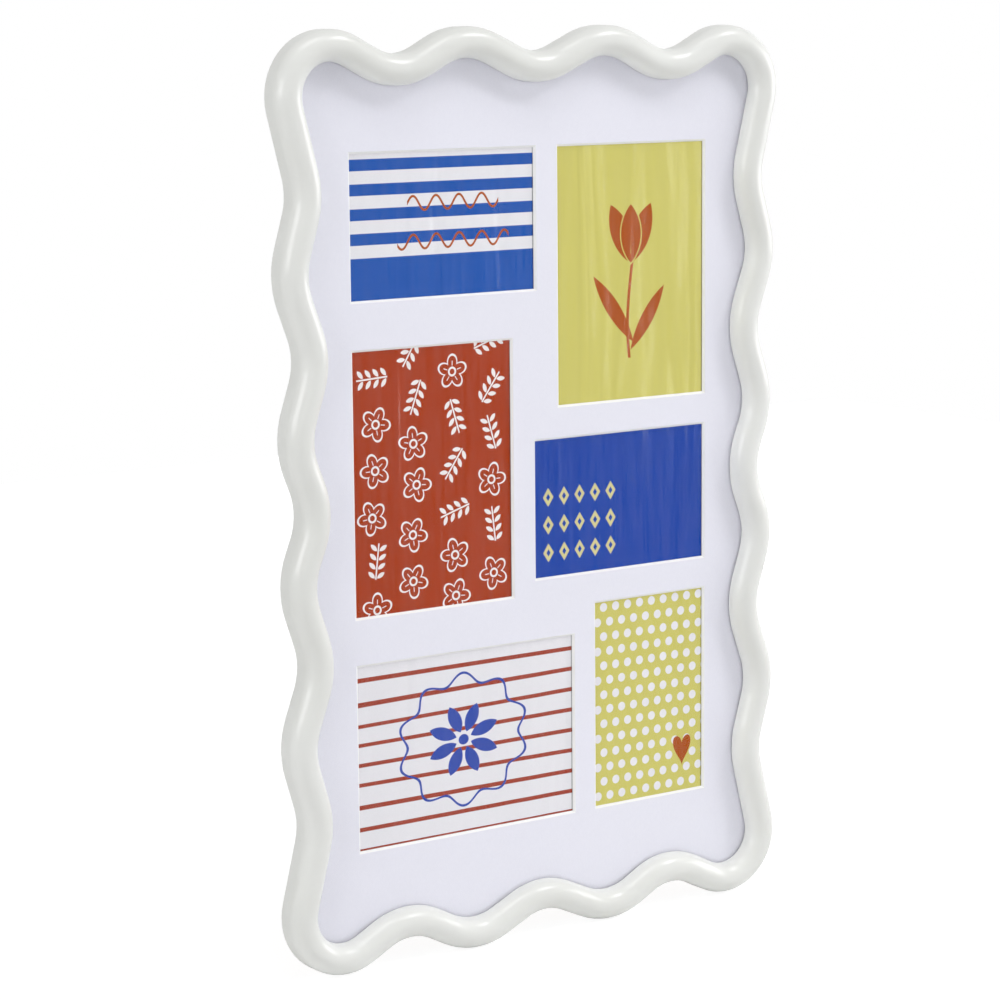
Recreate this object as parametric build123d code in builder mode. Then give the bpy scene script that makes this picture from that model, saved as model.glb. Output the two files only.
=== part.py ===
from build123d import *
import math
import os

# Collage photo frame for the wall, six prints behind one mat.
# X runs to the right, Z up and Y from the front to the wall. The origin is the
# centre of the whole frame, halfway between the crown and the wall pads.

# Moulding section
moulding_width = 20.4
crown_to_glazing = 12.7
lip_width = 5.0
back_edge_round = 1.0
lip_edge_round = 0.8

# Guide line of the moulding: a zigzag round the windows, its corners rounded into waves
rail_above_windows = 61.9
top_wave_shares = (0.0, 0.52, 1.0)
top_wave_stop = 72.5
top_swing = 13.2
top_end_swing = 14.8
rail_beside_windows = 38.5
side_rail_bow = 2.5
side_wave_shares = (0.0, 0.226, 0.49, 0.747, 1.0)
side_wave_stop = 87.4
side_swing = 9.2
side_end_swing = 7.0
corner_beyond_side = 26.7
corner_beyond_top = 36.1
top_wave_radius = 46.0
side_wave_radius = 52.0
corner_radius = 32.3
wave_limit_share = 0.96

# Stack behind the lip
glazing_thickness = 1.2
mat_thickness = 1.5
print_pocket = 0.7
backing_thickness = 4.0
backing_recess = 0.2
panel_play = 0.6

# Prints and their windows in the mat
small_print = (150.0, 100.0)
large_print = (180.0, 130.0)
print_thickness = 0.25
window_overlap = 3.0
window_gap_across = 20.0
window_gap_left = 33.0
mat_bevel_angle = 45.0

# Paper tape at the head of each print
tape_length = 60.0
tape_width = 19.0
tape_thickness = 0.1

# Wall pads
pad_radius = 4.5
pad_height = 4.2
pad_edge_round = 0.8

# Screws of the turn buttons and hangers
screw_radius = 1.45
screw_length = 10.0
screw_point_length = 3.0
screw_point_radius = 0.3
screw_head_radius = 2.8
screw_head_height = 1.8
screw_head_round = 1.2
pilot_clearance = 0.05
pilot_spare_depth = 1.0

# Turn buttons
button_root_radius = 4.5
button_tip_radius = 3.2
button_reach = 17.0
button_thickness = 1.0
button_hole_clearance = 0.15
button_gap = 0.2

# D ring hangers
strap_width = 9.0
strap_thickness = 0.9
strap_tail = 5.5
eye_to_screw = 10.0
eye_play = 0.1
ring_wire_radius = 0.9
ring_inner_width = 12.0
ring_corner_radius = 2.0
ring_screw_clearance = 0.4
ring_rest_gap = 0.3
strap_edge_round = 0.3

# Depths, each measured back from the crown
rebate_depth = (
    glazing_thickness + mat_thickness + print_pocket + backing_thickness + backing_recess
)
moulding_depth = crown_to_glazing + rebate_depth
crown_y = -(moulding_depth + pad_height) / 2
glazing_y = crown_y + crown_to_glazing
mat_y = glazing_y + glazing_thickness
print_y = mat_y + mat_thickness
backing_y = print_y + print_pocket
back_y = crown_y + moulding_depth

os.makedirs("parts", exist_ok=True)


def facing_front(y):
    """Plane across the frame at depth y, whose normal points to the viewer."""
    return Plane.XZ.offset(-y)


def facing_wall(x, y, z, x_dir=(1, 0, 0)):
    """Plane at a point on the back, whose normal points to the wall."""
    return Plane(origin=(x, y, z), x_dir=x_dir, z_dir=(0, 1, 0))


def save(builder, name):
    """Label a finished piece and write it as one STEP file."""
    builder.part.label = name
    export_step(builder.part, f"parts/{name}.step")


# Two stacks of windows, flush at the outer sides of the block and at its ends
def window(print_size):
    return tuple(side - 2 * window_overlap for side in print_size)


def upright(print_size):
    return print_size[1], print_size[0]


left_stack = {
    "print_top_left": small_print,
    "print_middle_left": upright(large_print),
    "print_bottom_left": large_print,
}
right_stack = {
    "print_top_right": upright(large_print),
    "print_middle_right": small_print,
    "print_bottom_right": upright(small_print),
}
block_width = window(small_print)[0] + window_gap_across + window(large_print)[1]
left_height = sum(window(size)[1] for size in left_stack.values())
right_height = sum(window(size)[1] for size in right_stack.values())
block_height = left_height + 2 * window_gap_left
window_gap_right = (block_height - right_height) / 2

# The rails keep their distances from the block of windows
top_rail_height = block_height / 2 + rail_above_windows
side_rail_offset = block_width / 2 + rail_beside_windows
top_wave_span = side_rail_offset - top_wave_stop
side_wave_span = top_rail_height - side_wave_stop
corner_out = side_rail_offset + corner_beyond_side
corner_up = top_rail_height + corner_beyond_top


# Corners of the guide zigzag, anticlockwise as the viewer sees them, from mid right
def side_corner(index):
    share = side_wave_shares[index]
    last = index == len(side_wave_shares) - 1
    swing = side_end_swing if last else side_swing
    outward = swing if index % 2 else -swing
    return side_rail_offset + side_rail_bow * share**2 + outward, side_wave_span * share


def top_corner(index):
    share = top_wave_shares[index]
    last = index == len(top_wave_shares) - 1
    swing = top_end_swing if last else top_swing
    outward = swing if index % 2 else -swing
    return top_wave_span * share, top_rail_height + outward


side_corners = [side_corner(i) for i in range(len(side_wave_shares))]
top_corners = [top_corner(i) for i in reversed(range(len(top_wave_shares)))]
quarter = side_corners + [(corner_out, corner_up)] + top_corners
upper_left = [(-x, z) for x, z in reversed(quarter[:-1])]
lower_left = [(-x, -z) for x, z in quarter[1:]]
lower_right = [(x, -z) for x, z in reversed(quarter[1:-1])]
guide_corners = quarter + upper_left + lower_left + lower_right


def half_turn(index):
    """Half the angle by which the guide line turns at one of its corners."""
    before, here, after = (
        Vector(*guide_corners[(index + step) % len(guide_corners)]) for step in (-1, 0, 1)
    )
    return math.radians((here - before).get_angle(after - here)) / 2


def frame_corner(index):
    """Whether a corner of the guide line is one of the frame's own four."""
    return abs(guide_corners[index][0]) == corner_out


def flank_room(index, step):
    """Length that a wave's arc may take up on the straight side towards a neighbour."""
    neighbour = (index + step) % len(guide_corners)
    length = (Vector(*guide_corners[neighbour]) - Vector(*guide_corners[index])).length
    if frame_corner(neighbour):
        return length - corner_radius * math.tan(half_turn(neighbour))
    return length / 2


def bend_radius(index):
    """Radius of the guide line's arc at one of its corners, as far as its flanks allow."""
    if frame_corner(index):
        return corner_radius
    x, z = guide_corners[index]
    wanted = side_wave_radius if (abs(x), abs(z)) in side_corners else top_wave_radius
    room = wave_limit_share * min(flank_room(index, step) for step in (-1, 1))
    return min(wanted, room / math.tan(half_turn(index)))


def bend_middle(index):
    """Middle of the arc at a corner of the guide line, and its outward direction."""
    before, here, after = (
        Vector(*guide_corners[(index + step) % len(guide_corners)]) for step in (-1, 0, 1)
    )
    inside = ((before - here).normalized() + (after - here).normalized()).normalized()
    sagitta = bend_radius(index) * (1 / math.cos(half_turn(index)) - 1)
    middle = here + inside * sagitta
    outward = inside if inside.dot(here) > 0 else inside * -1
    return middle, outward


guide_radii = [bend_radius(index) for index in range(len(guide_corners))]
with BuildLine(facing_front(back_y)) as guide_line:
    FilletPolyline(*guide_corners, radius=guide_radii, close=True)

# Places on the moulding, named by where they lie on it
corner_bends = [i for i in range(len(guide_corners)) if frame_corner(i)]
wave_crests = [
    i
    for i, (x, z) in enumerate(guide_corners)
    if i not in corner_bends and bend_middle(i)[0].length < Vector(x, z).length
]
side_trough = side_corners[2]
hanger_bends = [
    guide_corners.index((sign * side_trough[0], side_trough[1])) for sign in (-1, 1)
]

# Moulding: half-round front, straight sides and the rebate behind the lip
half_width = moulding_width / 2
shoulder = half_width - moulding_depth
section_origin = guide_line.line @ 0
section_tangent = guide_line.line % 0
section_outward = Vector(0, 1, 0).cross(section_tangent)
section_plane = Plane(section_origin, x_dir=section_outward, z_dir=section_tangent)

button_places = [bend_middle(index)[0] for index in wave_crests]
strap_screws = [bend_middle(index)[0] for index in hanger_bends]
screw_places = button_places + strap_screws

with BuildPart() as frame_moulding:
    with BuildSketch(section_plane):
        with BuildLine():
            ThreePointArc(
                (-half_width, shoulder), (0, -moulding_depth), (half_width, shoulder)
            )
            Polyline(
                (half_width, shoulder),
                (half_width, 0),
                (lip_width - half_width, 0),
                (lip_width - half_width, -rebate_depth),
                (-half_width, -rebate_depth),
                (-half_width, shoulder),
            )
        section = make_face()
        outer_back = section.vertices().group_by(Axis.Y)[-1].sort_by(Axis.X)[-1]
        fillet(outer_back, back_edge_round)
        lip_corner = section.vertices().filter_by_position(
            Axis.Y, -rebate_depth, -rebate_depth
        ).sort_by(Axis.X)[0]
        fillet(lip_corner, lip_edge_round)
    sweep(path=guide_line.line)
    with Locations(*[facing_wall(p.X, back_y, p.Y) for p in screw_places]):
        Hole(screw_radius + pilot_clearance, depth=screw_length + pilot_spare_depth)
save(frame_moulding, "frame_moulding")


def panel(y, thickness):
    """Sheet of the rebate's shape, its front face at depth y."""
    inset = half_width - lip_width + panel_play
    with BuildPart() as sheet:
        with BuildSketch(facing_front(y + thickness)):
            with BuildLine():
                FilletPolyline(*guide_corners, radius=guide_radii, close=True)
            make_face()
            offset(amount=-inset)
        extrude(amount=thickness)
    return sheet


glazing = panel(glazing_y, glazing_thickness)
save(glazing, "glazing")

backing_board = panel(backing_y, backing_thickness)
save(backing_board, "backing_board")


# Window and print places, each stack hung from the head of the block
print_places = {}
for side, stack, gap in ((-1, left_stack, window_gap_left), (1, right_stack, window_gap_right)):
    head = block_height / 2
    for name, size in stack.items():
        width, height = window(size)
        centre = (side * (block_width - width) / 2, head - height / 2)
        print_places[name] = (size, centre)
        head -= height + gap

with BuildPart() as mat_board:
    add(panel(mat_y, mat_thickness).part)
    for size, centre in print_places.values():
        with BuildSketch(facing_front(print_y)):
            with Locations(centre):
                Rectangle(*window(size))
        extrude(amount=mat_thickness, taper=-mat_bevel_angle, mode=Mode.SUBTRACT)
save(mat_board, "mat_board")

for name, (size, centre) in print_places.items():
    with BuildPart() as photo_print:
        with BuildSketch(facing_front(print_y + print_thickness)):
            with Locations(centre):
                Rectangle(*size)
        extrude(amount=print_thickness)
    save(photo_print, name)

# Tape: it lies on the head of the print and steps down to the mat above it
with BuildPart() as print_tapes:
    for size, (x, z) in print_places.values():
        tape_start = (x - tape_length / 2, print_y, z + size[1] / 2)
        with BuildSketch(Plane(tape_start, x_dir=(0, 1, 0), z_dir=(1, 0, 0))):
            with BuildLine():
                Polyline(
                    (0, 0),
                    (0, tape_width / 2),
                    (tape_thickness, tape_width / 2),
                    (tape_thickness, tape_thickness),
                    (print_thickness + tape_thickness, tape_thickness),
                    (print_thickness + tape_thickness, -tape_width / 2),
                    (print_thickness, -tape_width / 2),
                    (print_thickness, 0),
                    close=True,
                )
            make_face()
        extrude(amount=tape_length)
save(print_tapes, "print_tapes")

# Wall pads on the four corners
with BuildPart() as wall_bumpers:
    with Locations(*[facing_wall(p.X, back_y, p.Y) for p, _ in map(bend_middle, corner_bends)]):
        Cylinder(pad_radius, pad_height, align=(Align.CENTER, Align.CENTER, Align.MIN))
    fillet(wall_bumpers.edges().group_by(Axis.Y)[-1], pad_edge_round)
save(wall_bumpers, "wall_bumpers")

# One screw on the Z axis, the underside of its head at the origin
with BuildPart() as wood_screw:
    Cylinder(screw_head_radius, screw_head_height, align=(Align.CENTER, Align.CENTER, Align.MIN))
    fillet(wood_screw.edges().group_by(Axis.Z)[-1], screw_head_round)
    with Locations((0, 0, screw_point_length - screw_length)):
        Cylinder(
            screw_radius,
            screw_length - screw_point_length,
            align=(Align.CENTER, Align.CENTER, Align.MIN),
        )
        Cone(
            screw_point_radius,
            screw_radius,
            screw_point_length,
            align=(Align.CENTER, Align.CENTER, Align.MAX),
        )

button_head_y = back_y + 2 * button_gap + button_thickness
with BuildPart() as button_screws:
    with Locations(*[facing_wall(p.X, button_head_y, p.Y) for p in button_places]):
        add(wood_screw.part)
save(button_screws, "button_screws")

strap_top_y = back_y + strap_thickness
with BuildPart() as hanger_screws:
    with Locations(*[facing_wall(p.X, strap_top_y, p.Y) for p in strap_screws]):
        add(wood_screw.part)
save(hanger_screws, "hanger_screws")

# Turn buttons: a tapered plate on each crest of the waves, its tip over the backing
for number, index in enumerate(wave_crests, start=1):
    middle, outward = bend_middle(index)
    inward = (-outward.X, 0, -outward.Y)
    button_y = back_y + button_gap
    with BuildPart() as turn_button:
        with BuildSketch(facing_wall(middle.X, button_y, middle.Y, x_dir=inward)):
            Circle(button_root_radius)
            with Locations((button_reach, 0)):
                Circle(button_tip_radius)
            make_hull()
            Circle(screw_radius + button_hole_clearance, mode=Mode.SUBTRACT)
        extrude(amount=button_thickness)
    save(turn_button, f"turn_button_{number}")

# D ring hangers: the ring hangs in the eye, round the head of the strap's screw
eye_bore = ring_wire_radius + eye_play
eye_radius = eye_bore + strap_thickness
eye_y = back_y + eye_radius
ring_half_width = ring_inner_width / 2 + ring_wire_radius
ring_reach = eye_to_screw + screw_head_radius + ring_screw_clearance + ring_wire_radius
ring_tilt = math.asin((ring_rest_gap - eye_play) / ring_reach)
ring_arc_radius = ring_half_width - eye_play

for side, place in zip(("left", "right"), strap_screws):
    eye_z = place.Y + eye_to_screw
    with BuildPart() as hanger_strap:
        with BuildSketch(Plane.YZ.offset(place.X - strap_width / 2)):
            with Locations((back_y + strap_thickness / 2, place.Y + (eye_to_screw - strap_tail) / 2)):
                Rectangle(strap_thickness, eye_to_screw + strap_tail)
            with Locations((eye_y, eye_z)):
                Circle(eye_radius)
                Circle(eye_bore, mode=Mode.SUBTRACT)
        extrude(amount=strap_width)
        tail_corners = hanger_strap.edges().filter_by(Axis.Y).group_by(Axis.Z)[0]
        fillet(tail_corners, strap_width / 2 - strap_edge_round)
        with Locations(facing_wall(place.X, strap_top_y, place.Y)):
            Hole(screw_radius + button_hole_clearance, depth=strap_thickness)
    save(hanger_strap, f"hanger_strap_{side}")

    ring_plane = Plane(
        origin=(place.X, eye_y, eye_z),
        x_dir=(1, 0, 0),
        z_dir=(0, math.cos(ring_tilt), math.sin(ring_tilt)),
    )
    with BuildPart() as hanger_ring:
        with BuildLine(ring_plane) as ring_line:
            FilletPolyline(
                (-ring_half_width, 0),
                (ring_half_width, 0),
                (ring_half_width, ring_reach),
                (-ring_half_width, ring_reach),
                radius=[ring_corner_radius] * 2 + [ring_arc_radius] * 2,
                close=True,
            )
        with BuildSketch(Plane(ring_line.line @ 0, z_dir=ring_line.line % 0)):
            Circle(ring_wire_radius)
        sweep(path=ring_line.line)
    save(hanger_ring, f"hanger_ring_{side}")
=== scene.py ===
import math
import random

import bmesh
import bpy
from mathutils import Matrix, Vector


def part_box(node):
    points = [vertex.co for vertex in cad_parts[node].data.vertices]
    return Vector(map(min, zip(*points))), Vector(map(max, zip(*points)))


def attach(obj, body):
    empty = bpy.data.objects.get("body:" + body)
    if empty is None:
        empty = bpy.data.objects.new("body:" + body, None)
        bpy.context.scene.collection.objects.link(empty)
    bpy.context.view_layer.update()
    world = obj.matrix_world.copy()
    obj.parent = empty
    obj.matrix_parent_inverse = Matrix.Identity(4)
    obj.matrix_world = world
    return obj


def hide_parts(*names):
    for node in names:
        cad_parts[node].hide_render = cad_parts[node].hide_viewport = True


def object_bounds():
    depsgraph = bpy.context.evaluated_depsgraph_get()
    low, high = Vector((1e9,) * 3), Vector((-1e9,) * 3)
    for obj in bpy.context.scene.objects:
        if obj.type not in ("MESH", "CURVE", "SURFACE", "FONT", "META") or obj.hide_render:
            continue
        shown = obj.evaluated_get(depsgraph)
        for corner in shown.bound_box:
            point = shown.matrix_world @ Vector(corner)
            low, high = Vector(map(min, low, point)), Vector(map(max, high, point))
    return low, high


# Collage photo frame: lacquered wavy moulding, bevelled mat and six prints.
# Metres, X to the viewer's right, Y towards the wall, Z up.
MM = 0.001

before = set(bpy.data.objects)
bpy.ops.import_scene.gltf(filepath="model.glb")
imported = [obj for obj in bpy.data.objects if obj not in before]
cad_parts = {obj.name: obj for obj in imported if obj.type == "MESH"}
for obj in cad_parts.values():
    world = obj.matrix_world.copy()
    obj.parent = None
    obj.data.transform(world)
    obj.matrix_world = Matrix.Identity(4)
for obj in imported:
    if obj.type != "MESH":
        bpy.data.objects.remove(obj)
cad_low, cad_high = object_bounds()

random.seed(7)


def srgb(red, green, blue):
    """Linear colour from the 0 to 255 values that a screen shows."""
    linear = []
    for value in (red, green, blue):
        share = value / 255
        linear.append(share / 12.92 if share < 0.04045 else ((share + 0.055) / 1.055) ** 2.4)
    return (*linear, 1.0)


# Camera, solved from the corners of the six windows
camera_data = bpy.data.cameras.new("camera")
camera_data.sensor_width = 36.0
camera_data.lens = 107.9
camera_data.clip_end = 50.0
camera = bpy.data.objects.new("camera", camera_data)
camera_place = (-1.16327, -1.62577, 0.31134)
camera_yaw, camera_pitch, camera_roll = (math.radians(a) for a in (-34.851, -9.060, -0.519))
camera.matrix_world = (
    Matrix.Translation(camera_place)
    @ Matrix.Rotation(camera_yaw, 4, "Z")
    @ Matrix.Rotation(math.pi / 2 + camera_pitch, 4, "X")
    @ Matrix.Rotation(camera_roll, 4, "Z")
)
bpy.context.scene.collection.objects.link(camera)
bpy.context.scene.camera = camera
bpy.context.scene.view_settings.view_transform = "Standard"


# Node arithmetic
class Field:
    """A number worked out by shader nodes and written as plain arithmetic."""

    def __init__(self, tree, socket):
        self.tree = tree
        self.socket = socket

    def math(self, operation, *others):
        node = self.tree.nodes.new("ShaderNodeMath")
        node.operation = operation
        for slot, value in zip(node.inputs, (self, *others)):
            if isinstance(value, Field):
                self.tree.links.new(value.socket, slot)
            else:
                slot.default_value = value
        return Field(self.tree, node.outputs[0])

    def __add__(self, other):
        return self.math("ADD", other)

    def __sub__(self, other):
        return self.math("SUBTRACT", other)

    def __mul__(self, other):
        return self.math("MULTIPLY", other)

    def __truediv__(self, other):
        return self.math("DIVIDE", other)

    def __abs__(self):
        return self.math("ABSOLUTE")

    def sin(self):
        return self.math("SINE")

    def cos(self):
        return self.math("COSINE")

    def root(self):
        return self.math("SQRT")

    def floor(self):
        return self.math("FLOOR")

    def low(self, other):
        return self.math("MINIMUM", other)

    def high(self, other):
        return self.math("MAXIMUM", other)

    def wrap(self, top):
        return self.math("WRAP", top, 0.0)

    def inside(self, edge=0.06):
        """1 where this distance is below zero, 0 above, soft over the edge width."""
        return (self * (-1 / (2 * edge)) + 0.5).math("MINIMUM", 1.0).math("MAXIMUM", 0.0)


def length(across, up):
    return (across * across + up * up).root()


def angle(across, up):
    return up.math("ARCTAN2", across)


def turned(across, up, degrees):
    """Coordinates along axes turned anticlockwise by so many degrees."""
    c, s = math.cos(math.radians(degrees)), math.sin(math.radians(degrees))
    return across * c + up * s, up * c - across * s


def leaf(across, up, half_length, half_width):
    """Distance to a pointed leaf that lies along the across axis, from its middle."""
    radius = (half_length**2 + half_width**2) / (2 * half_width)
    return length(across, abs(up) + (radius - half_width)) - radius


class Paint:
    """A material and the nodes that most of them share."""

    def __init__(self, name):
        self.material = bpy.data.materials.new(name)
        self.material.use_nodes = True
        self.tree = self.material.node_tree
        self.shader = self.tree.nodes["Principled BSDF"]
        self.place = self.tree.nodes.new("ShaderNodeTexCoord").outputs["Object"]

    def set(self, **values):
        for name, value in values.items():
            self.shader.inputs[name.replace("_", " ")].default_value = value

    def link(self, source, target):
        source = source.socket if isinstance(source, Field) else source
        self.tree.links.new(source, self.shader.inputs[target] if isinstance(target, str) else target)

    def scaled(self, factors):
        node = self.tree.nodes.new("ShaderNodeMapping")
        node.inputs["Scale"].default_value = factors
        self.tree.links.new(self.place, node.inputs["Vector"])
        return node.outputs["Vector"]

    def noise(self, per_metre, detail=2.0, roughness=0.5, stretch=(1, 1, 1), distortion=0.0):
        node = self.tree.nodes.new("ShaderNodeTexNoise")
        node.inputs["Scale"].default_value = per_metre
        node.inputs["Detail"].default_value = detail
        node.inputs["Roughness"].default_value = roughness
        node.inputs["Distortion"].default_value = distortion
        self.tree.links.new(self.scaled(stretch), node.inputs["Vector"])
        return Field(self.tree, node.outputs["Fac"])

    def specks(self, per_metre, size):
        """1 in small scattered spots, 0 between them."""
        node = self.tree.nodes.new("ShaderNodeTexVoronoi")
        node.inputs["Scale"].default_value = per_metre
        self.tree.links.new(self.place, node.inputs["Vector"])
        return (Field(self.tree, node.outputs["Distance"]) - size).inside(size * 0.3)

    def spread(self, field, low, high, new_low, new_high):
        """Stretches one range of the field over another and clips what lies outside."""
        node = self.tree.nodes.new("ShaderNodeMapRange")
        limits = {"From Min": low, "From Max": high, "To Min": new_low, "To Max": new_high}
        for name, value in limits.items():
            node.inputs[name].default_value = value
        self.tree.links.new(field.socket, node.inputs["Value"])
        return Field(self.tree, node.outputs["Result"])

    def mix(self, share, first, second):
        node = self.tree.nodes.new("ShaderNodeMix")
        node.data_type = "RGBA"
        for slot, value in ((0, share), (6, first), (7, second)):
            if isinstance(value, Field):
                self.tree.links.new(value.socket, node.inputs[slot])
            elif isinstance(value, bpy.types.NodeSocket):
                self.tree.links.new(value, node.inputs[slot])
            else:
                node.inputs[slot].default_value = value
        return node.outputs[2]

    def bump(self, height, depth_mm):
        """Adds a relief of this depth on top of those that are there."""
        node = self.tree.nodes.new("ShaderNodeBump")
        node.inputs["Strength"].default_value = 1.0
        node.inputs["Distance"].default_value = depth_mm * MM
        self.tree.links.new(height.socket, node.inputs["Height"])
        if self.shader.inputs["Normal"].is_linked:
            self.tree.links.new(self.shader.inputs["Normal"].links[0].from_socket, node.inputs["Normal"])
        self.tree.links.new(node.outputs["Normal"], self.shader.inputs["Normal"])

    def flat(self):
        """Shades each face by its own plane, for sheets whose corners are sharp."""
        geometry = self.tree.nodes.new("ShaderNodeNewGeometry")
        self.tree.links.new(geometry.outputs["True Normal"], self.shader.inputs["Normal"])
        return self

    def facing(self, axis):
        """The surface's own normal along one axis of the object, from -1 to 1."""
        normal = self.tree.nodes.new("ShaderNodeNewGeometry").outputs["True Normal"]
        split = self.tree.nodes.new("ShaderNodeSeparateXYZ")
        self.tree.links.new(normal, split.inputs[0])
        return Field(self.tree, split.outputs[axis])

    def position(self, axis):
        """The place along one axis of the object, in millimetres."""
        split = self.tree.nodes.new("ShaderNodeSeparateXYZ")
        self.tree.links.new(self.place, split.inputs[0])
        return Field(self.tree, split.outputs[axis]) * 1000.0


# Rigid pieces: the CAD nodes with their materials
moulding_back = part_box("frame_moulding")[1].y / MM
BARE_BAND = 1.0


def lacquer():
    """White gloss on fibreboard, which is left bare with some overspray on the back face."""
    paint = Paint("white_lacquer")
    paint.set(IOR=1.5, Specular_IOR_Level=0.2, Coat_Roughness=0.19)
    cloud = paint.spread(paint.noise(9.0, 3.0), 0.3, 0.7, 0.0, 1.0)
    white = paint.mix(cloud, srgb(223, 224, 220), srgb(229, 230, 227))
    dust = paint.specks(38.0, 0.012)
    white = paint.mix(dust, white, srgb(205, 204, 196))
    fibres = paint.spread(paint.noise(700.0, 4.0, 0.7), 0.3, 0.7, 0.0, 1.0)
    board = paint.mix(fibres, srgb(120, 92, 66), srgb(156, 124, 92))
    overspray = paint.noise(60.0, 3.0) * 3.0
    behind = paint.position("Y") * -1.0 + (moulding_back - BARE_BAND)
    back = (paint.facing("Y") * -1.0 + 0.97).inside(0.02) * behind.inside()
    bare = back * paint.spread(overspray, 0.9, 1.5, 0.75, 1.0)
    paint.link(paint.mix(bare, white, board), "Base Color")
    paint.link(paint.spread(bare, 0.0, 1.0, 0.48, 0.8), "Roughness")
    glossy = paint.spread(paint.facing("Y") * -1.0, 0.0, 0.45, 0.15, 0.55)
    paint.link(glossy * (bare * -1.0 + 1.0), "Coat Weight")
    paint.bump(paint.noise(55.0, 2.0), 0.10)
    paint.bump(paint.noise(420.0, 2.0), 0.006)
    return paint.material


def mat_board():
    """Matt board with a white core, which shows in the bevels."""
    paint = Paint("mat_board").flat()
    paint.set(Roughness=0.88, IOR=1.45)
    grain = paint.noise(900.0, 4.0, 0.65, (1, 1, 0.55))
    face = paint.mix(grain, srgb(231, 231, 242), srgb(238, 238, 248))
    core = (abs(paint.facing("Y")) - 0.9).inside(0.03)
    paint.link(paint.mix(core, face, srgb(243, 243, 243)), "Base Color")
    paint.bump(grain, 0.02)
    paint.bump(paint.noise(30.0, 2.0), 0.05)
    return paint.material


def backing():
    """Brown hardboard with pale flecks of fibre."""
    paint = Paint("hardboard").flat()
    paint.set(Roughness=0.62, IOR=1.45)
    cloud = paint.noise(14.0, 4.0, 0.6)
    fibres = paint.noise(520.0, 5.0, 0.7, (1, 1, 0.4))
    brown = paint.mix(paint.spread(cloud, 0.3, 0.7, 0.0, 1.0), srgb(118, 84, 56), srgb(143, 105, 72))
    flecks = paint.spread(fibres, 0.58, 0.72, 0.0, 1.0)
    paint.link(paint.mix(flecks, brown, srgb(170, 134, 98)), "Base Color")
    paint.link(paint.spread(fibres, 0.3, 0.7, 0.5, 0.72), "Roughness")
    paint.bump(fibres, 0.03)
    return paint.material


def steel(name, dark, pale, roughness, stretch):
    """Zinc plate, whose fine lines run along the axes of the smallest stretch."""
    paint = Paint(name)
    paint.set(Metallic=1.0)
    cloud = paint.noise(240.0, 3.0, 0.6)
    paint.link(paint.mix(cloud, dark, pale), "Base Color")
    lines = paint.noise(2600.0, 3.0, 0.6, stretch)
    paint.link(paint.spread(lines, 0.3, 0.7, roughness - 0.08, roughness + 0.1), "Roughness")
    paint.bump(lines, 0.004)
    return paint.material


def rubber():
    """Soft, slightly translucent pad."""
    paint = Paint("wall_pad")
    paint.set(Roughness=0.45, IOR=1.5, Subsurface_Weight=0.3, Subsurface_Scale=0.002)
    cloud = paint.noise(300.0, 3.0)
    paint.link(paint.mix(cloud, srgb(196, 196, 192), srgb(212, 212, 208)), "Base Color")
    paint.bump(paint.noise(1500.0, 2.0), 0.01)
    return paint.material


def paper_tape():
    """Creped paper tape."""
    paint = Paint("paper_tape")
    paint.set(Roughness=0.7)
    crepe = paint.noise(900.0, 3.0, 0.6, (0.15, 1, 1))
    paint.link(paint.mix(crepe, srgb(208, 190, 150), srgb(226, 212, 176)), "Base Color")
    paint.bump(crepe, 0.03)
    return paint.material


def clear_sheet():
    """Acrylic: all but clear, with the faint mirror of its two faces."""
    paint = Paint("clear_acrylic").flat()
    paint.set(Base_Color=(1.0, 1.0, 1.0, 1.0), Metallic=1.0, Roughness=0.03, Alpha=0.007)
    return paint.material


def dress(node, material):
    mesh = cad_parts[node].data
    mesh.materials.clear()
    mesh.materials.append(material)


dress("frame_moulding", lacquer())
dress("mat_board", mat_board())
dress("backing_board", backing())
dress("wall_bumpers", rubber())
dress("print_tapes", paper_tape())
plate = steel("zinc_plate", srgb(150, 152, 154), srgb(186, 188, 190), 0.34, (1, 1, 0.08))
wire = steel("zinc_wire", srgb(160, 162, 164), srgb(196, 198, 200), 0.24, (0.2, 1, 1))
for side in ("left", "right"):
    dress(f"hanger_strap_{side}", plate)
    dress(f"hanger_ring_{side}", wire)
for number in range(1, 13):
    dress(f"turn_button_{number}", plate)

# Glazing: the CAD sheet, a hair thinner at its back so that it doesn't touch the mat
GLAZING_SLACK = 0.06 * MM
glazing_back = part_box("glazing")[1].y
glazing_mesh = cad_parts["glazing"].data.copy()
glazing_mesh.name = "glazing_sheet"
for vertex in glazing_mesh.vertices:
    if vertex.co.y > glazing_back - GLAZING_SLACK:
        vertex.co.y -= GLAZING_SLACK
glazing_mesh.materials.clear()
glazing_mesh.materials.append(clear_sheet())
glazing_sheet = bpy.data.objects.new("glazing_sheet", glazing_mesh)
bpy.context.scene.collection.objects.link(glazing_sheet)
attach(glazing_sheet, "frame")
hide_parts("glazing")

# Screws: the CAD solids with a cross recess cut into each head
RECESS_SPAN = 3.0 * MM
RECESS_WIDTH = 0.75 * MM
RECESS_DEPTH = 1.0 * MM
RECESS_TAPER = 0.45
CUT_OVERRUN = 0.5 * MM
WELD_REACH = 0.0005 * MM
SHARP_ANGLE = math.radians(32)


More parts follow.
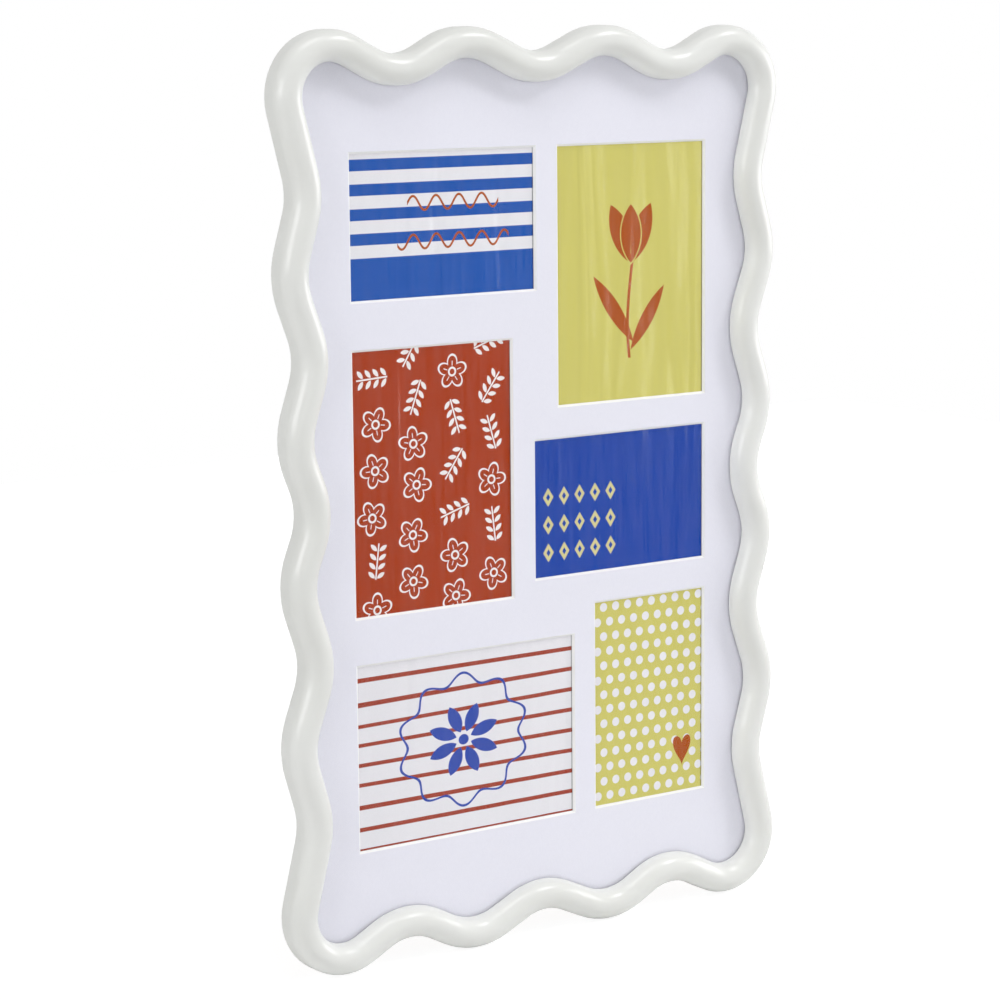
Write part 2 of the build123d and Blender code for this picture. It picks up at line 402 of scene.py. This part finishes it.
def weld(mesh):
    """Joins the mesh's doubled corners and gives each loose part's lowest and highest corner."""
    shape = bmesh.new()
    shape.from_mesh(mesh)
    bmesh.ops.remove_doubles(shape, verts=shape.verts, dist=WELD_REACH)
    shape.to_mesh(mesh)
    waiting = set(shape.verts)
    boxes = []
    while waiting:
        front, part = [waiting.pop()], []
        while front:
            vertex = front.pop()
            part.append(vertex.co.copy())
            for edge in vertex.link_edges:
                other = edge.other_vert(vertex)
                if other in waiting:
                    waiting.remove(other)
                    front.append(other)
        low, high = ([pick(co[i] for co in part) for i in range(3)] for pick in (min, max))
        boxes.append((Vector(low), Vector(high)))
    shape.free()
    return boxes


def recess_cutter(boxes):
    """A tapered cross over the middle of each head, each turned by its own angle."""
    far, near = RECESS_SPAN / 2, RECESS_WIDTH / 2
    arm = [(far, -near), (far, near), (near, near)]
    quarter_turns = ((1, 0), (0, 1), (-1, 0), (0, -1))
    outline = [(x * c - z * s, x * s + z * c) for c, s in quarter_turns for x, z in arm]
    cutter = bmesh.new()
    for low, high in sorted(boxes, key=lambda box: tuple(box[0])):
        turn = Matrix.Rotation(random.uniform(0, math.pi / 2), 4, "Y")
        place = Matrix.Translation(((low.x + high.x) / 2, high.y, (low.z + high.z) / 2)) @ turn
        top, foot = (
            [cutter.verts.new(place @ Vector((x * share, y, z * share))) for x, z in outline]
            for y, share in ((CUT_OVERRUN, 1.0), (-RECESS_DEPTH, RECESS_TAPER))
        )
        cutter.faces.new(top)
        cutter.faces.new(list(reversed(foot)))
        for i in range(len(outline)):
            cutter.faces.new([top[i], foot[i], foot[i - 1], top[i - 1]])
    bmesh.ops.recalc_face_normals(cutter, faces=cutter.faces)
    mesh = bpy.data.meshes.new("recess_cutter")
    cutter.to_mesh(mesh)
    cutter.free()
    return bpy.data.objects.new("recess_cutter", mesh)


def cross_screws(node, material):
    """A copy of the node's screws with their recesses cut, in place of the node."""
    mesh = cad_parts[node].data.copy()
    mesh.materials.clear()
    mesh.materials.append(material)
    mesh.attributes.remove(mesh.attributes["custom_normal"])
    piece = bpy.data.objects.new(f"{node}_crossed", mesh)
    cutter = recess_cutter(weld(mesh))
    for item in (piece, cutter):
        bpy.context.scene.collection.objects.link(item)
    cut = piece.modifiers.new("recess", "BOOLEAN")
    cut.operation, cut.solver, cut.object = "DIFFERENCE", "EXACT", cutter
    bpy.context.view_layer.update()
    made = bpy.data.meshes.new_from_object(piece.evaluated_get(bpy.context.evaluated_depsgraph_get()))
    piece.modifiers.clear()
    piece.data = made
    made.shade_smooth()
    made.set_sharp_from_angle(angle=SHARP_ANGLE)
    bpy.data.objects.remove(cutter)
    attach(piece, "frame")
    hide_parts(node)


screw_zinc = steel("zinc_screw", srgb(150, 150, 146), srgb(190, 190, 184), 0.28, (1, 1, 1))
for node in ("button_screws", "hanger_screws"):
    cross_screws(node, screw_zinc)

# Prints: patterns in millimetres, colours as inks on paper, with a painted shadow line and a partly
# painted sheen
WINDOW_OVERLAP = 3.0
# Painted shadow line by the right bevel of each window: its width and softness in millimetres, and how
# far it darkens
PAINTED_SHADOW_WIDTH = 0.7
PAINTED_SHADOW_DEPTH = 0.6
PAINTED_SHADOW_SOFTNESS = 0.25
PAPER_WHITE = srgb(232, 231, 236)
# Dark that the paper's grain and the painted shadow line mix towards
DARK_FOR_GRAIN_AND_PAINTED_SHADOW = srgb(38, 38, 40)
INK_BLUE = srgb(20, 82, 172)
INK_RUST = srgb(165, 54, 3)
INK_ORANGE = srgb(170, 79, 10)
INK_YELLOW = srgb(206, 199, 106)


class Sheet(Paint):
    """Smooth photo paper, measured in millimetres from the top left corner of its window."""

    def __init__(self, node):
        super().__init__(node)
        low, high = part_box(node)
        self.node, self.low, self.high = node, low, high
        self.width = (high.x - low.x) * 1000 - 2 * WINDOW_OVERLAP
        self.height = (high.z - low.z) * 1000 - 2 * WINDOW_OVERLAP
        self.across = self.position("X") - (low.x * 1000 + WINDOW_OVERLAP)
        self.down = self.position("Z") * -1.0 + (high.z * 1000 - WINDOW_OVERLAP)
        self.set(Roughness=0.13, IOR=1.45, Specular_IOR_Level=0.11)

    def around(self, across, down):
        """Coordinates from a point of the print, the second of them upwards."""
        return self.across - across, self.down * -1.0 + down

    def dice(self, column, row):
        """Three chances from 0 to 1 for each cell of a pattern."""
        pair = self.tree.nodes.new("ShaderNodeCombineXYZ")
        self.link(column, pair.inputs[0])
        self.link(row, pair.inputs[1])
        noise = self.tree.nodes.new("ShaderNodeTexWhiteNoise")
        noise.noise_dimensions = "2D"
        self.link(pair.outputs[0], noise.inputs["Vector"])
        split = self.tree.nodes.new("ShaderNodeSeparateColor")
        self.link(noise.outputs["Color"], split.inputs[0])
        return [Field(self.tree, socket) for socket in split.outputs]

    def finish(self, colour):
        """Adds the paper's grain, faint lighter upright bands that are partly uneven ink and partly a
        painted sheen, and a painted shadow line by the right bevel.
        """
        grain = self.noise(1400.0, 3.0, 0.6)
        ink_and_sheen_streaks = self.noise(420.0, 3.0, 0.6, (1, 1, 0.06))
        colour = self.mix(self.spread(grain, 0.3, 0.7, 0.0, 0.05), colour, DARK_FOR_GRAIN_AND_PAINTED_SHADOW)
        # Lighter upright bands, partly uneven ink and partly a painted sheen
        colour = self.mix(self.spread(ink_and_sheen_streaks, 0.35, 0.7, 0.0, 0.03), colour, PAPER_WHITE)
        # Painted shadow: a dark line along the right edge of the window, standing in for the shade the
        # mat's bevel casts on the print
        painted_shadow = (self.across * -1.0 + (self.width - PAINTED_SHADOW_WIDTH)).inside(PAINTED_SHADOW_SOFTNESS)
        colour = self.mix(painted_shadow * PAINTED_SHADOW_DEPTH, colour, DARK_FOR_GRAIN_AND_PAINTED_SHADOW)
        self.link(colour, "Base Color")
        self.bump(self.noise(40.0, 1.5, 0.5, (1, 1, 0.1), 0.8), 2.4)
        self.bump(grain, 0.004)
        return self.material


def striped_print(node):
    """Blue and white stripes over a solid blue foot, with two thin wave lines."""
    sheet = Sheet(node)
    stripe, pitch, first, foot_top = 7.5, 15.87, 3.4, 66.9
    phase = (sheet.down - first).wrap(pitch)
    stripes = (abs(phase - stripe / 2) - stripe / 2).inside()
    below_head = (sheet.down * -1.0 + first).inside()
    foot = (sheet.down * -1.0 + foot_top).inside()
    colour = sheet.mix((stripes * below_head).high(foot), PAPER_WHITE, INK_BLUE)
    wave_length, wave_height, half_line = 18.0, 4.6, 0.75
    wave = 2 * math.pi / wave_length
    for middle, start, end in ((33.0, 44.0, 116.0), (58.0, 36.0, 124.0)):
        across, up = sheet.around((start + end) / 2, middle)
        rise = (across * wave).sin() * wave_height
        slope = (across * wave).cos() * (wave_height * wave)
        line = abs(up - rise) / (slope * slope + 1.0).root() - half_line
        past_ends = abs(across) - (end - start) / 2
        colour = sheet.mix(line.high(past_ends).inside(), colour, INK_ORANGE)
    return sheet.finish(colour)


def tulip_print(node):
    """One rust orange tulip with two leaves on plain yellow."""
    sheet = Sheet(node)
    across, up = sheet.around(62.0, 88.0)
    stem_middle, stem_half_length, stem_half_width = -24.0, 34.0, 1.2
    sway = (up * 0.045).sin() * 3.0
    stem = abs(across - sway) - stem_half_width
    shape = stem.high(abs(up - stem_middle) - stem_half_length)
    side_petals = (((-8.5, 27.0), 113.0, 22.0, 8.0), ((8.5, 27.0), 67.0, 22.0, 8.0))
    leaves = (((-15.0, -24.0), 126.0, 29.0, 5.5), ((14.0, -31.0), 56.0, 26.0, 5.0))
    for (place_across, place_up), degrees, half_length, half_width in side_petals + leaves:
        x, z = turned(across - place_across, up - place_up, degrees)
        shape = shape.low(leaf(x, z, half_length, half_width))
    petal_gap = 0.9
    middle_petal = leaf(up - 27.0, across, 20.0, 8.5)
    shape = shape.high((middle_petal - petal_gap) * -1.0).low(middle_petal)
    vein = abs(across) * 0.5 + abs(up - stem_middle) * 0.012 - 0.55
    colour = sheet.mix(shape.inside(), INK_YELLOW, INK_ORANGE)
    colour = sheet.mix(vein.high(middle_petal + 4.0).inside(), colour, INK_YELLOW)
    return sheet.finish(colour)


def blossom_print(node):
    """White blossoms and sprigs in a half-drop repeat on rust."""
    sheet = Sheet(node)
    cell, shake = 31.0, 5.0
    column = (sheet.across / cell).floor()
    drop = column.wrap(2.0) * 0.5
    row = (sheet.down / cell + drop).floor()
    chance, shift, turn = sheet.dice(column, row)
    across = (sheet.across / cell - column - 0.5) * cell + (shift - 0.5) * shake
    up = (sheet.down / cell + drop - row - 0.5) * -cell + (turn - 0.5) * shake
    reach = length(across, up)
    bearing = angle(across, up) + turn * (2 * math.pi)

    petals, petal_foot, petal_rise, half_line = 5, 6.2, 5.0, 0.75
    rim = abs((bearing * (petals / 2)).cos()) * petal_rise + petal_foot
    outline = abs(reach - rim) - half_line
    eye = abs(reach - 2.6) - 0.7
    veins = (abs((bearing * (petals / 2)).sin() * reach) * 0.4 - 0.3).high(abs(reach - 5.6) - 1.6)
    blossom = outline.low(eye).low(veins)

    half_length, half_stalk, blade_step, blade_out = 12.0, 0.55, 6.0, 3.6
    along, beside = reach * bearing.cos(), reach * bearing.sin()
    past_ends = abs(along) - half_length
    stalk = (abs(beside) - half_stalk).high(past_ends)
    step = along.wrap(blade_step) - blade_step / 2
    out = abs(beside) - blade_out
    blades = leaf(out * 0.8 - step * 0.6, out * 0.6 + step * 0.8, 3.4, 1.5).high(past_ends)
    sprig = stalk.low(blades)

    white = srgb(242, 236, 235)
    is_blossom = (chance - 0.55).inside(0.001)
    is_sprig = is_blossom * -1.0 + 1.0
    colour = sheet.mix(blossom.inside() * is_blossom, INK_RUST, white)
    colour = sheet.mix(sprig.inside() * is_sprig, colour, white)
    return sheet.finish(colour)


def plain_print(node):
    """Plain blue with rows of small yellow diamonds at the lower left."""
    sheet = Sheet(node)
    step_across, step_down, columns, rows = 13.2, 19.1, 5, 3
    left, top = 11.0, 39.4
    column = ((sheet.across - left) / step_across + 0.5).floor().high(0.0).low(columns - 1.0)
    row = ((sheet.down - top) / step_down + 0.5).floor().high(0.0).low(rows - 1.0)
    across = sheet.across - column * step_across - left
    down = sheet.down - row * step_down - top
    tallness, outer, inner = 0.68, 4.4, 1.7
    from_middle = abs(across) + abs(down) * tallness
    blue = srgb(8, 63, 164)
    colour = sheet.mix((from_middle - outer).inside(), blue, srgb(212, 206, 148))
    colour = sheet.mix((from_middle - inner).inside(), colour, blue)
    return sheet.finish(colour)


def ring_print(node):
    """Rust stripes, and a blue scalloped ring round a daisy."""
    sheet = Sheet(node)
    stripe, pitch, first = 2.9, 14.4, 9.0
    down = sheet.down
    for middle, room, drift in ((33.0, 24.0, 3.2), (82.0, 20.0, -1.6)):
        near = (abs(sheet.down - middle) / -room + 1.0).high(0.0)
        down = down - near * (sheet.across / -sheet.width + 1.0) * drift
    phase = (down - first + stripe / 2).wrap(pitch)
    stripes = abs(phase - stripe / 2) - stripe / 2
    colour = sheet.mix(stripes.inside(), PAPER_WHITE, srgb(160, 64, 44))

    across, up = sheet.around(83.6, 60.2)
    across = across / 1.155
    bearing = angle(across, up)
    reach = length(across, up)
    scallops, radius, swing, half_line = 10.0, 42.4, 3.4, 0.85
    ring = abs(reach - ((bearing * scallops + math.pi).cos() * swing + radius)) - half_line

    petals, petal_middle, half_length, half_width, eye_radius = 8, 15.5, 10.0, 4.4, 3.6
    sector = 2 * math.pi / petals
    off_petal = ((bearing / sector).wrap(1.0) - 0.5) * sector
    petal = leaf(reach * off_petal.cos() - petal_middle, reach * off_petal.sin(), half_length, half_width)
    shape = ring.low(petal).low(reach - eye_radius)
    colour = sheet.mix(shape.inside(), colour, srgb(50, 76, 170))
    return sheet.finish(colour)


def dotted_print(node):
    """White dots in staggered rows on yellow, and one small rust orange heart."""
    sheet = Sheet(node)
    across_pitch, down_pitch, radius = 10.45, 10.3, 3.1
    first_across, first_down = 7.4, 3.9
    level = sheet.down - first_down + down_pitch / 2
    row = (level / down_pitch).floor()
    shift = row.wrap(2.0) * (across_pitch / 2)
    place = sheet.across + shift - first_across + across_pitch / 2
    across = place.wrap(across_pitch) - across_pitch / 2
    down = level.wrap(down_pitch) - down_pitch / 2
    dots = length(across, down) - radius

    x, z = sheet.around(76.4, 118.6)
    clearing, half_width, half_height, lobes = 9.0, 7.8, 8.1, 1.2
    too_near = length(x - across, z + down) * -1.0 + clearing
    colour = sheet.mix(dots.high(too_near).inside(), INK_YELLOW, PAPER_WHITE)
    lift = (abs(x / half_width) + 0.0001).root() * lobes
    heart = length(x / half_width, z / half_height - lift) - 1.0
    colour = sheet.mix((heart * 5.0).inside(), colour, INK_ORANGE)
    return sheet.finish(colour)


HEAD_HELD = 9.5 * MM
HEAD_RELEASE = 16 * MM
PRINT_SLACK = 0.03 * MM
CURL_ROOM = 0.36 * MM
PAPER_THICKNESS = 0.25 * MM
GRID_STEP = 2.5 * MM
WAVE_COUNT = 4
WAVE_LENGTHS = (18 * MM, 46 * MM)
WAVE_LEAN = 0.06


def curled_print(node, material):
    """The sheet as it hangs from its tape: a little wavy below its straight head."""
    low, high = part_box(node)
    columns = round((high.x - low.x) / GRID_STEP)
    rows = round((high.z - low.z) / GRID_STEP)
    waves = [
        (random.uniform(*WAVE_LENGTHS), random.uniform(0, 2 * math.pi), random.uniform(0.5, 1.0))
        for _ in range(WAVE_COUNT)
    ]
    weight = sum(share for _, _, share in waves)
    mesh = bmesh.new()
    grid = []
    for j in range(rows + 1):
        z = high.z + (low.z - high.z) * j / rows
        freed = min(1.0, max(0.0, (high.z - z - HEAD_HELD) / HEAD_RELEASE))
        line = []
        for i in range(columns + 1):
            x = low.x + (high.x - low.x) * i / columns
            lean = (high.z - z) * WAVE_LEAN
            total = sum(
                share * math.sin(2 * math.pi * (x + lean) / span + start) for span, start, share in waves
            )
            away = PRINT_SLACK + CURL_ROOM * (0.5 + 0.5 * total / weight) * freed
            line.append(mesh.verts.new((x, low.y + away, z)))
        grid.append(line)
    for upper, lower in zip(grid, grid[1:]):
        for i in range(columns):
            mesh.faces.new([upper[i], lower[i], lower[i + 1], upper[i + 1]])
    for face in mesh.faces:
        face.smooth = True
    data = bpy.data.meshes.new(f"{node}_sheet")
    mesh.to_mesh(data)
    mesh.free()
    data.materials.append(material)
    piece = bpy.data.objects.new(f"{node}_sheet", data)
    bpy.context.scene.collection.objects.link(piece)
    thick = piece.modifiers.new("paper", "SOLIDIFY")
    thick.thickness = PAPER_THICKNESS
    thick.offset = -1.0
    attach(piece, "frame")
    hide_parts(node)
    return piece


PRINTS = {
    "print_top_left": striped_print,
    "print_top_right": tulip_print,
    "print_middle_left": blossom_print,
    "print_middle_right": plain_print,
    "print_bottom_left": ring_print,
    "print_bottom_right": dotted_print,
}
sheets = [curled_print(node, design(node)) for node, design in PRINTS.items()]


# Floor: white to the camera, and it keeps the shadow
FLOOR_HALF = 2.1
FLOOR_DROP = 0.5 * MM
FLOOR_GREY = 0.9
GLOW = 1.18
GLOW_SHARE = 0.75


def floor_paint():
    """Diffuse pale grey with a glow mixed in for the camera alone."""
    material = bpy.data.materials.new("floor")
    material.use_nodes = True
    nodes, links = material.node_tree.nodes, material.node_tree.links
    shader = nodes["Principled BSDF"]
    shader.inputs["Base Color"].default_value = (FLOOR_GREY, FLOOR_GREY, FLOOR_GREY, 1.0)
    shader.inputs["Roughness"].default_value = 0.9
    glow = nodes.new("ShaderNodeEmission")
    glow.inputs["Strength"].default_value = GLOW
    rays = nodes.new("ShaderNodeLightPath")
    seen = nodes.new("ShaderNodeMath")
    seen.operation = "MULTIPLY"
    seen.inputs[1].default_value = GLOW_SHARE
    blend = nodes.new("ShaderNodeMixShader")
    links.new(rays.outputs["Is Camera Ray"], seen.inputs[0])
    links.new(seen.outputs[0], blend.inputs[0])
    links.new(shader.outputs[0], blend.inputs[1])
    links.new(glow.outputs[0], blend.inputs[2])
    links.new(blend.outputs[0], nodes["Material Output"].inputs["Surface"])
    return material


floor_mesh = bpy.data.meshes.new("floor")
square = ((-1, -1), (1, -1), (1, 1), (-1, 1))
floor_corners = [(x * FLOOR_HALF, y * FLOOR_HALF, cad_low.z - FLOOR_DROP) for x, y in square]
floor_mesh.from_pydata(floor_corners, [], [(0, 1, 2, 3)])
floor_mesh.materials.append(floor_paint())
floor = bpy.data.objects.new("floor", floor_mesh)
bpy.context.scene.collection.objects.link(floor)

# World: white where it is seen or mirrored, softer as light
WORLD_AS_LIGHT = 0.2
world = bpy.data.worlds.new("studio")
bpy.context.scene.world = world
world.use_nodes = True
sky = world.node_tree
sky_light = sky.nodes["Background"]
rays = sky.nodes.new("ShaderNodeLightPath")
seen = Field(sky, rays.outputs["Is Camera Ray"])
for kind in ("Is Glossy Ray", "Is Transmission Ray"):
    seen = seen.high(Field(sky, rays.outputs[kind]))
sky_light.inputs["Color"].default_value = (1.0, 1.0, 1.0, 1.0)
strength = seen * (1.0 - WORLD_AS_LIGHT) + WORLD_AS_LIGHT
sky.links.new(strength.socket, sky_light.inputs["Strength"])


def softbox(name, place, aim, size, watts, only=None, mirrored=True):
    """A rectangular area lamp turned towards a point, for some pieces only where it says so."""
    lamp = bpy.data.lights.new(name, "AREA")
    lamp.shape = "RECTANGLE"
    lamp.size, lamp.size_y = size
    lamp.energy = watts
    item = bpy.data.objects.new(name, lamp)
    item.location = place
    item.rotation_mode = "QUATERNION"
    item.rotation_quaternion = (Vector(aim) - Vector(place)).to_track_quat("-Z", "Y")
    item.visible_glossy = mirrored
    bpy.context.scene.collection.objects.link(item)
    if only:
        group = bpy.data.collections.new(f"{name}_lit")
        for piece in only:
            group.objects.link(piece)
        item.light_linking.receiver_collection = group


centre, below_centre, foot = (0, 0, 0), (0, 0, -0.1), (0, 0, -0.3)
softbox("key", (1.95, -1.7, 2.7), foot, (1.0, 1.0), 41.5)
softbox("top", (-0.2, -1.0, 2.8), below_centre, (1.6, 1.0), 25.0)
softbox("front", (-1.8, -2.6, -0.1), below_centre, (2.0, 2.0), 9.0)
softbox("west", (-2.6, -0.75, 0.8), centre, (1.6, 1.0), 28.0)
softbox("east", (2.6, -0.9, 0.4), centre, (1.6, 1.0), 28.0)
softbox("rear", (1.8, 2.4, 0.1), centre, (1.6, 1.6), 75.0, mirrored=False)
softbox("sheen", (1.6, -1.62, -0.2), centre, (0.07, 2.4), 8.0, only=sheets)
